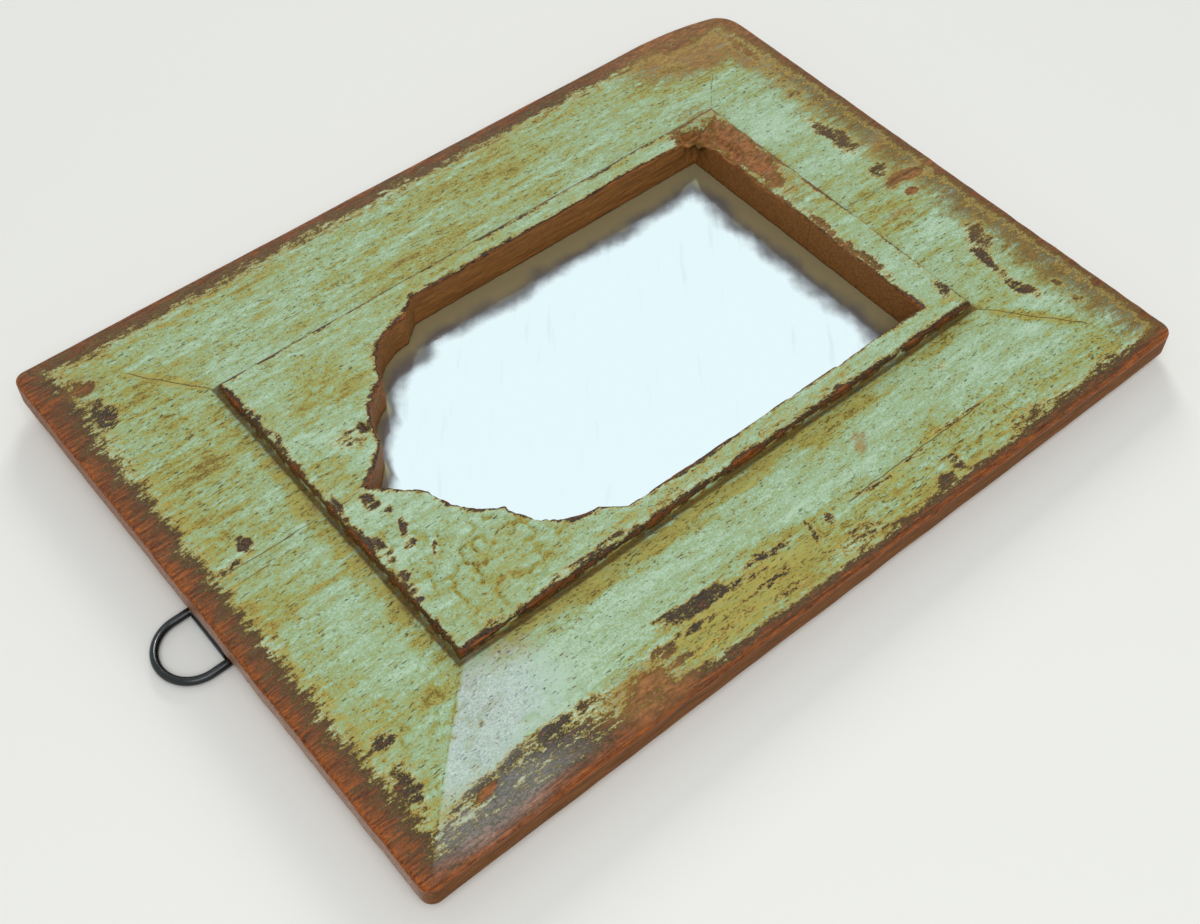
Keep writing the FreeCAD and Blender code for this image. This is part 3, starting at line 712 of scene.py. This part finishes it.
# Above this height the clouded strip along the right wall narrows, by a share of the way up
TAPER_FROM = 20
TAPER = 0.12
SMUDGES = ((26, 66, 15, 20, 1.0, 25), (4, 82, 12, 12, 0.8), (-46, -78, 12, 12, 0.6),
           (30, -60, 14, 20, 0.5))
glass_low, glass_high = (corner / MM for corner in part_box("mirror_glass"))
across, up = (np.linspace(low, high, round((high - low) / GLASS_CELL))
              for low, high in zip(glass_low.xz, glass_high.xz))
sheet = np.stack(np.meshgrid(across, up), -1).reshape(-1, 2)
right_wall = rim_loop(1)[::-1][COLUMNS[2]:]
half_width = np.interp(sheet[:, 1], right_wall[:, 1], right_wall[:, 0])
margin = half_width - sheet[:, 0] + np.maximum(0, sheet[:, 1] - TAPER_FROM) * TAPER
index = np.arange(len(sheet)).reshape(len(up), len(across))
glass_mesh = new_mesh(
    "silvered_glass", np.insert(sheet, 1, glass_low.y, axis=1) * MM, faces=cells(index),
    margin=np.minimum(margin, sheet[:, 1] - SILL), smudge=patches(sheet, SMUDGES, 1.3))
glass = in_scene("silvered_glass", glass_mesh)
body = glass.modifiers.new("thickness", "SOLIDIFY")
body.thickness = (glass_high.y - glass_low.y) * MM
body.offset = -1.0

# Clear bright silver, with dust along two walls painted with the walls' brown reflection, and a dark
# smudge where the cloth stopped, by gap in mm
WIPE_ANGLE = -51
WIPE_LENGTH = 7
silver, tree, shader, place = new_material("old_silvered_glass")
gap = add(tree, "ShaderNodeAttribute", out="Fac", attribute_name="margin")
smudge = add(tree, "ShaderNodeAttribute", out="Fac", attribute_name="smudge")
smoke = add(tree, "ShaderNodeTexNoise", {"Vector": place, "Scale": per(15), "Detail": 5})
wipe_way = {"Vector": place, "Rotation": (0, math.radians(WIPE_ANGLE), 0), "Scale": (1, 1, WIPE_LENGTH)}
wipe_way = add(tree, "ShaderNodeMapping", wipe_way, vector_type="TEXTURE")
wipe = add(tree, "ShaderNodeTexNoise", {"Vector": wipe_way, "Scale": per(4), "Detail": 4})
ragged_gap = add(tree, "ShaderNodeMath", {0: smoke, 1: -12, 2: 6}, operation="MULTIPLY_ADD")
ragged_gap = add(tree, "ShaderNodeMath", {0: wipe, 1: -3, 2: ragged_gap}, operation="MULTIPLY_ADD")
ragged_gap = add(tree, "ShaderNodeMath", {0: gap, 1: ragged_gap}, operation="ADD")
streaks = add(tree, "ShaderNodeMath", {0: smudge, 1: 0.09, 2: wipe}, operation="MULTIPLY_ADD")
tone, _ = cover("#fbffff", "#b4b8b8", streaks, 0.61, 0.85, 0.2)
tone, smeared = cover(tone, "#6f6f74", ragged_gap, 16, 8)
# Dust next to the walls, with a painted reflection of the brown walls in its colour
tone, _ = cover(tone, "#aaa27c", ragged_gap, 10.5, 3)
metal = add(tree, "ShaderNodeMapRange", {"Value": smeared, "To Min": 1.0, "To Max": 0.4})
blur = add(tree, "ShaderNodeMapRange", {"Value": smeared, "To Min": 0.03, "To Max": 0.12})
feed(tree, shader, {"Base Color": tone, "Metallic": metal, "Roughness": blur})
glass_mesh.materials.append(silver)
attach(glass, "mirror")
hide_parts("mirror_glass")


# The packing card
# Thin grey-brown card cut to the glass and held flat behind its silvering by the backing. It is dull, with
# the soft clouds of its pulp.
card, tree, shader, place = new_material("grey_brown_card")
pulp = add(tree, "ShaderNodeTexNoise", {"Vector": place, "Scale": per(1.5), "Detail": 4})
tone = add(tree, "ShaderNodeMix", {0: pulp, 6: "#7b6c57", 7: "#a39378"}, 2, data_type="RGBA")
feed(tree, shader, {"Base Color": tone, "Roughness": 0.85})
finish_node("packing_card", card)


# The backing board
# A sheet of pressed hardboard over the card, nailed into the rebate with its smooth face out.
# The finish is brown with fine dark fibres and old damp stains.
hardboard, tree, shader, place = new_material("pressed_hardboard")
fibre = add(tree, "ShaderNodeTexNoise", {"Vector": place, "Scale": per(1.2), "Detail": 5, "Roughness": 0.7})
damp = add(tree, "ShaderNodeTexNoise", {"Vector": place, "Scale": per(45), "Detail": 5})
tone = add(tree, "ShaderNodeMix", {0: fibre, 6: "#573a22", 7: "#916846"}, 2, data_type="RGBA")
tone, _ = cover(tone, "#3b291a", damp, 0.45, 0.7, 0.35)
rough = add(tree, "ShaderNodeMapRange", {"Value": fibre, "To Min": 0.42, "To Max": 0.68})
bump = add(tree, "ShaderNodeBump", {"Height": fibre, "Strength": 0.6, "Distance": 0.1 * MM})
feed(tree, shader, {"Base Color": tone, "Roughness": rough, "Normal": bump})
finish_node("backing_board", hardboard)


# The backing nails
# Small flat-headed steel nails driven flush round the backing, each a little crooked.
# The steel is dulled and flecked with rust, which is rougher and not metallic.
rusty, tree, shader, place = new_material("rusted_mild_steel")
rust = add(tree, "ShaderNodeTexNoise", {"Vector": place, "Scale": per(1.0), "Detail": 4, "Roughness": 0.7})
tone, rusted = cover("#8a857c", "#5d3a22", rust, 0.45, 0.6)
metal = add(tree, "ShaderNodeMapRange", {"Value": rusted, "To Min": 1.0, "To Max": 0.15})
rough = add(tree, "ShaderNodeMapRange", {"Value": rusted, "To Min": 0.38, "To Max": 0.8})
feed(tree, shader, {"Base Color": tone, "Metallic": metal, "Roughness": rough})


def shape_tree(name, inputs):
    """A Geometry Nodes tree that takes and gives a shape, with other inputs by name and kind."""
    tree = bpy.data.node_groups.new(name, "GeometryNodeTree")
    for label, kind in (("Geometry", "Geometry"), *inputs, ("Material", "Material")):
        tree.interface.new_socket(label, in_out="INPUT", socket_type="NodeSocket" + kind)
    tree.interface.new_socket("Geometry", in_out="OUTPUT", socket_type="NodeSocketGeometry")
    return tree, add(tree, "NodeGroupInput", out=None).outputs


def end_tree(tree, shape, material):
    shape = add(tree, "GeometryNodeRealizeInstances", {"Geometry": shape})
    shape = add(tree, "GeometryNodeSetMaterial", {"Geometry": shape, "Material": material})
    add(tree, "NodeGroupOutput", {"Geometry": shape}, None)
    return tree


def fastener_tree():
    """Heads on shanks at each point of a mesh, tilted and turned at random, with a slot if asked for."""
    sizes = ("Head Radius", "Top Radius", "Head Height", "Shank Radius", "Shank Length", "Slot Width",
             "Slot Depth", "Tilt", "Turn")
    tree, given = shape_tree("driven_fasteners", (
        *((size, "Float") for size in sizes), ("Slotted", "Bool"), ("Seed", "Int")))
    shares = {}
    for share, size, much in (
        ("low", "Head Height", 0.6), ("high", "Head Height", 0.4), ("shoulder", "Head Radius", 0.97),
        ("drop", "Shank Length", -0.5), ("bar", "Head Radius", 3.0), ("cut", "Slot Depth", 2.0),
    ):
        shares[share] = add(tree, "ShaderNodeMath", {0: given[size], 1: much}, operation="MULTIPLY")

    def raised(shape, height):
        offset = add(tree, "ShaderNodeCombineXYZ", {"Z": height})
        return add(tree, "GeometryNodeTransform", {"Geometry": shape, "Translation": offset})

    # The head is two tapered rings, so that its upper edge is rounded over
    low = add(tree, "GeometryNodeMeshCone", {
        "Vertices": 32, "Radius Top": shares["shoulder"], "Radius Bottom": given["Head Radius"],
        "Depth": shares["low"]})
    high = add(tree, "GeometryNodeMeshCone", {
        "Vertices": 32, "Radius Top": given["Top Radius"], "Radius Bottom": shares["shoulder"],
        "Depth": shares["high"]})
    shank = add(tree, "GeometryNodeMeshCylinder", {
        "Vertices": 16, "Radius": given["Shank Radius"], "Depth": given["Shank Length"]})
    whole = add(tree, "GeometryNodeJoinGeometry", out=None)
    for part in (low, raised(high, shares["low"]), raised(shank, shares["drop"])):
        tree.links.new(part, whole.inputs[0])
    whole = whole.outputs[0]
    bar = {"X": shares["bar"], "Y": given["Slot Width"], "Z": shares["cut"]}
    bar = add(tree, "GeometryNodeMeshCube", {"Size": add(tree, "ShaderNodeCombineXYZ", bar)})
    bar = raised(bar, given["Head Height"])
    cut = add(tree, "GeometryNodeMeshBoolean", {"Mesh 1": whole, "Mesh 2": bar}, operation="DIFFERENCE")
    head = {"Switch": given["Slotted"], "False": whole, "True": cut}
    head = add(tree, "GeometryNodeSwitch", head, input_type="GEOMETRY")
    head = add(tree, "GeometryNodeTransform", {"Geometry": head, "Rotation": (-math.pi / 2, 0, 0)})

    most = add(tree, "ShaderNodeCombineXYZ", {"X": given["Tilt"], "Y": given["Turn"], "Z": given["Tilt"]})
    least = add(tree, "ShaderNodeVectorMath", {0: most, "Scale": -1.0}, operation="SCALE")
    lean = {0: least, 1: most, "Seed": given["Seed"]}
    lean = add(tree, "FunctionNodeRandomValue", lean, data_type="FLOAT_VECTOR")
    heads = {"Points": given["Geometry"], "Instance": head, "Rotation": lean}
    return end_tree(tree, add(tree, "GeometryNodeInstanceOnPoints", heads), given["Material"])


def grown_piece(name, base, tree, values, node, body):
    """Runs a node tree on a base mesh with the given inputs, and puts the plain result in place of a node."""
    seedling = in_scene(name + "_base", base)
    modifier = seedling.modifiers.new("grow", "NODES")
    modifier.node_group = tree
    for item in tree.interface.items_tree:
        if item.name in values:
            modifier[item.identifier] = values[item.name]
    bpy.context.view_layer.update()
    grown = seedling.evaluated_get(bpy.context.evaluated_depsgraph_get())
    piece = in_scene(name, bpy.data.meshes.new_from_object(grown))
    bpy.data.objects.remove(seedling)
    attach(piece, body)
    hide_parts(node)
    return piece


NAIL_INSET = 5.0
NAILS_ACROSS = 3
NAILS_UP = 4
NAIL_HEAD_HEIGHT = 0.7
fasteners = fastener_tree()
backing_low, backing_high = (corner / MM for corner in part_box("backing_board"))
nail_x, nail_z = (np.linspace(low + NAIL_INSET, high - NAIL_INSET, count) for low, high, count in zip(
    backing_low.xz, backing_high.xz, (NAILS_ACROSS, NAILS_UP)))
nail_spots = [(x, z) for x in nail_x for z in nail_z if x != nail_x[1] or z in (nail_z[0], nail_z[-1])]
nail_points = new_mesh("nail_points", [(x * MM, -NAIL_HEAD_HEIGHT * MM, z * MM) for x, z in nail_spots])
grown_piece("flat_head_nails", nail_points, fasteners, {
    "Head Radius": 1.7 * MM, "Top Radius": 1.3 * MM, "Head Height": NAIL_HEAD_HEIGHT * MM,
    "Shank Radius": 0.7 * MM, "Shank Length": 11.0 * MM, "Tilt": math.radians(2.5), "Turn": math.pi,
    "Seed": 4, "Material": rusty,
}, "backing_nails", "mirror")


# The hanger strap
# A steel strip folded round the ring's bar and screwed to the back, with its sheared edges eased.
# It is dipped in black enamel, glossy and uneven, with small brown chips.
enamel, tree, shader, place = new_material("chipped_black_enamel")
chip = add(tree, "ShaderNodeTexNoise", {"Vector": place, "Scale": per(1.6), "Detail": 5, "Roughness": 0.6})
tone, _ = cover("#08090a", "#3a322b", chip, 0.66, 0.7)
rough = add(tree, "ShaderNodeMapRange", {"Value": chip, "To Min": 0.08, "To Max": 0.36})
bump = add(tree, "ShaderNodeBump", {"Height": chip, "Strength": 0.5, "Distance": 0.08 * MM})
feed(tree, shader, {"Base Color": tone, "Roughness": rough, "Normal": bump, "Specular IOR Level": 0.45})

STRAP_EASE = 0.18
WELD = 0.001
FLAT_ANGLE = 1
SHARP_ANGLE = 40
strap_mesh = nodes["hanger_strap"].data.copy()
build = bmesh.new()
build.from_mesh(strap_mesh)
bmesh.ops.remove_doubles(build, verts=build.verts, dist=WELD * MM)
bmesh.ops.dissolve_limit(build, angle_limit=math.radians(FLAT_ANGLE), verts=build.verts, edges=build.edges)
folded = math.radians(SHARP_ANGLE)
sharp = [edge for edge in build.edges if edge.is_manifold and edge.calc_face_angle() > folded]
bmesh.ops.bevel(build, geom=sharp, offset=STRAP_EASE * MM, segments=2, profile=0.5, affect="EDGES",
                clamp_overlap=True)
build.to_mesh(strap_mesh)
build.free()
strap_mesh.materials.clear()
strap_mesh.materials.append(enamel)
strap = in_scene("folded_strap", strap_mesh)
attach(strap, "mirror")
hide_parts("hanger_strap")


# The hanger screws
# Two slotted round-head steel screws in the same enamel, driven through the strap into the panel's back,
# each turned at random.
SCREW_SPACING = 10.0
SCREW_DROP = 10.2
SCREW_HEAD_HEIGHT = 1.3
ROLL_RADIUS = 2.3
strap_low, strap_high = (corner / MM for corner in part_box("hanger_strap"))
hanger_x = (strap_low.x + strap_high.x) / 2
bar_y, bar_z = strap_high.y - ROLL_RADIUS, strap_high.z - ROLL_RADIUS
screw_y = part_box("hanger_screws")[1].y / MM - SCREW_HEAD_HEIGHT
screw_spots = [(hanger_x + side * SCREW_SPACING / 2, screw_y, bar_z - SCREW_DROP) for side in (-1, 1)]
screw_points = new_mesh("screw_points", np.array(screw_spots) * MM)
grown_piece("slotted_screws", screw_points, fasteners, {
    "Head Radius": 2.6 * MM, "Top Radius": 1.7 * MM, "Head Height": SCREW_HEAD_HEIGHT * MM,
    "Shank Radius": 1.4 * MM, "Shank Length": 9.0 * MM, "Slot Width": 0.8 * MM, "Slot Depth": 0.6 * MM,
    "Slotted": True, "Turn": math.pi, "Seed": 2, "Material": enamel,
}, "hanger_screws", "mirror")


# The hanging ring
# Round steel wire bent to a D, in the same enamel. Its bar turns in the strap's roll, and its bow stands up
# behind the top edge and leans back a little.
RING_WIDTH = 23.7
RING_HEIGHT = 19.4
RING_CORNER = 2.0
RING_LEAN = 2.0
WIRE_RADIUS = 1.45


def wire_tree():
    """A round wire along the edges of a mesh."""
    tree, given = shape_tree("bent_wire", (("Wire Radius", "Float"),))
    path = add(tree, "GeometryNodeMeshToCurve", {"Mesh": given["Geometry"]})
    section = {"Resolution": 24, "Radius": given["Wire Radius"]}
    section = add(tree, "GeometryNodeCurvePrimitiveCircle", section)
    wire = add(tree, "GeometryNodeCurveToMesh", {"Curve": path, "Profile Curve": section})
    return end_tree(tree, wire, given["Material"])


half_ring = RING_WIDTH / 2
bend_x = half_ring - RING_CORNER
route = np.concatenate([
    spread([(-bend_x, 0), (bend_x, 0)], 30)[:-1],
    turn_arc((bend_x, RING_CORNER), RING_CORNER, -90, 0, 10),
    turn_arc((0, RING_HEIGHT - half_ring), half_ring, 0, 180, 60),
    turn_arc((-bend_x, RING_CORNER), RING_CORNER, 180, 270, 10)[:-1],
])
lean = math.radians(RING_LEAN)
route = [(hanger_x + x, bar_y + z * math.sin(lean), bar_z + z * math.cos(lean)) for x, z in route]
links = [(i, (i + 1) % len(route)) for i in range(len(route))]
ring_route = new_mesh("ring_route", np.array(route) * MM, links)
ring = grown_piece("bent_wire_ring", ring_route, wire_tree(), {
    "Wire Radius": WIRE_RADIUS * MM, "Material": enamel,
}, "hanger_ring", "ring")
ring.data.shade_smooth()


# The table under the mirror
# A plain pale top that the mirror lies on, just clear of the rolled strap and the backing's lower edge.
# It shows only from its front, so the back of the mirror can be seen too.
TABLE_HALF = 3.0
TABLE_GAP = 0.2
slope = strap_high.y / (bar_z - backing_low.z)
corners = [(x * TABLE_HALF, z * TABLE_HALF) for x, z in ((-1, -1), (1, -1), (1, 1), (-1, 1))]
corners = [(x, (z - backing_low.z * MM) * slope + TABLE_GAP * MM, z) for x, z in corners]
table_mesh = new_mesh("table_top", corners, faces=[(0, 1, 2, 3)])
table = in_scene("table_top", table_mesh)
pale, tree, shader, _ = new_material("pale_table_top")
feed(tree, shader, {"Base Color": "#f1f2ee", "Roughness": 0.75})
rays = add(tree, "ShaderNodeLightPath", out=None).outputs
hidden = add(tree, "ShaderNodeNewGeometry", out="Backfacing")
for ray in ("Is Shadow Ray", "Is Diffuse Ray"):
    hidden = add(tree, "ShaderNodeMath", {0: hidden, 1: rays[ray]}, operation="MAXIMUM")
clear = add(tree, "ShaderNodeBsdfTransparent")
split = add(tree, "ShaderNodeMixShader", {0: hidden, 1: shader.outputs[0], 2: clear})
feed(tree, tree.nodes["Material Output"], {"Surface": split})
table_mesh.materials.append(pale)


# Light and camera
# A white room, a soft lamp overhead, a low window that rakes the paint and isn't reflected, a small high
# window that gives only glints, a lamp behind, and the photograph's own viewpoint.
ROOM_LIGHT = 0.4
world = bpy.data.worlds.new("white_room")
bpy.context.scene.world = world
world.use_nodes = True
tree = world.node_tree
rays = add(tree, "ShaderNodeLightPath", out=None).outputs
mirrored = {0: rays["Is Glossy Ray"], 1: rays["Is Transmission Ray"]}
mirrored = add(tree, "ShaderNodeMath", mirrored, operation="MAXIMUM")
room = add(tree, "ShaderNodeBackground", {"Color": "#ffffff", "Strength": ROOM_LIGHT})
window = add(tree, "ShaderNodeBackground", {"Color": "#e9f8fc"})
white = add(tree, "ShaderNodeBackground", {"Color": "#ffffff"})
seen = add(tree, "ShaderNodeMixShader", {0: mirrored, 1: room, 2: window})
seen = add(tree, "ShaderNodeMixShader", {0: rays["Is Camera Ray"], 1: seen, 2: white})
feed(tree, tree.nodes["World Output"], {"Surface": seen})


def area_lamp(name, place, size, power):
    """A square lamp that looks at the middle of the panel."""
    made = in_scene(name, bpy.data.lights.new(name, "AREA"))
    made.data.size = size
    made.data.energy = power
    made.location = place
    made.rotation_euler = (-Vector(place)).to_track_quat("-Z", "Y").to_euler()
    return made


area_lamp("overhead_softbox", (-0.65, -1.2, 0.4), 1.0, 9.2)
area_lamp("window_softbox", (2.1, -1.17, -1.64), 0.9, 40).visible_glossy = False
area_lamp("high_window", (0.68, -1.82, -0.47), 0.35, 16).visible_diffuse = False
area_lamp("back_softbox", (0.5, 1.3, 0.5), 1.0, 11)

CAMERA_PLACE = Vector((-278.2, -424.5, 236.2)) * MM
CAMERA_AIM = Vector((-34.2, -10.0, 29.2)) * MM
CAMERA_UP = Vector((0.60983, -0.6111, -0.50464))
LENS = 47.68
forward = (CAMERA_AIM - CAMERA_PLACE).normalized()
right = forward.cross(CAMERA_UP).normalized()
turned = Matrix((right, right.cross(forward), -forward)).transposed().to_4x4()
camera = in_scene("camera", bpy.data.cameras.new("camera"))
camera.data.lens = LENS
camera.matrix_world = Matrix.Translation(CAMERA_PLACE) @ turned
bpy.context.scene.camera = camera
bpy.context.scene.view_settings.view_transform = "Standard"
